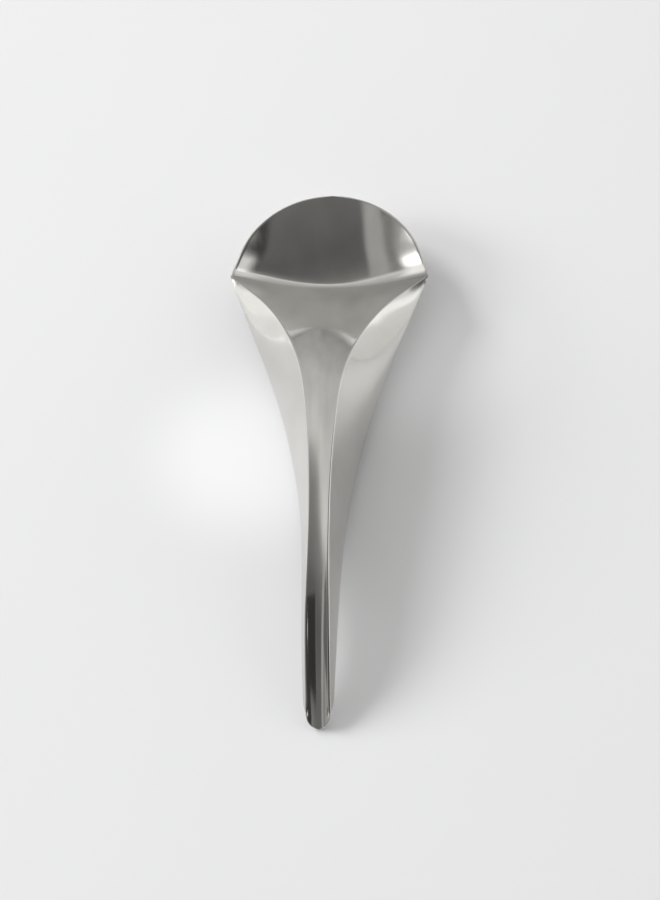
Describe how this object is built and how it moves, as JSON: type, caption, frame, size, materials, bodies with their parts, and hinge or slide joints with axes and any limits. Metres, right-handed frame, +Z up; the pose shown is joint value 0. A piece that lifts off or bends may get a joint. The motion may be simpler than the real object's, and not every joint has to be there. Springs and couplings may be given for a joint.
{
  "type": "tea bag spoon",
  "caption": "Polished steel spoon folded from one sheet: a round shallow bowl with two pointed corners and a slim channelled handle with turned-down sides.",
  "frame": {"origin": "on the table, below the middle of the length, half way across", "axes": "+X across the spoon, +Y along it towards the front of the bowl, +Z up from the table with the hollow of the bowl facing up"},
  "size_m": [0.0444, 0.12, 0.0165],
  "materials": {
    "spoon": "polished"
  },
  "bodies": {
    "root": {"spoon": "spoon"}
  },
  "joints": []
}
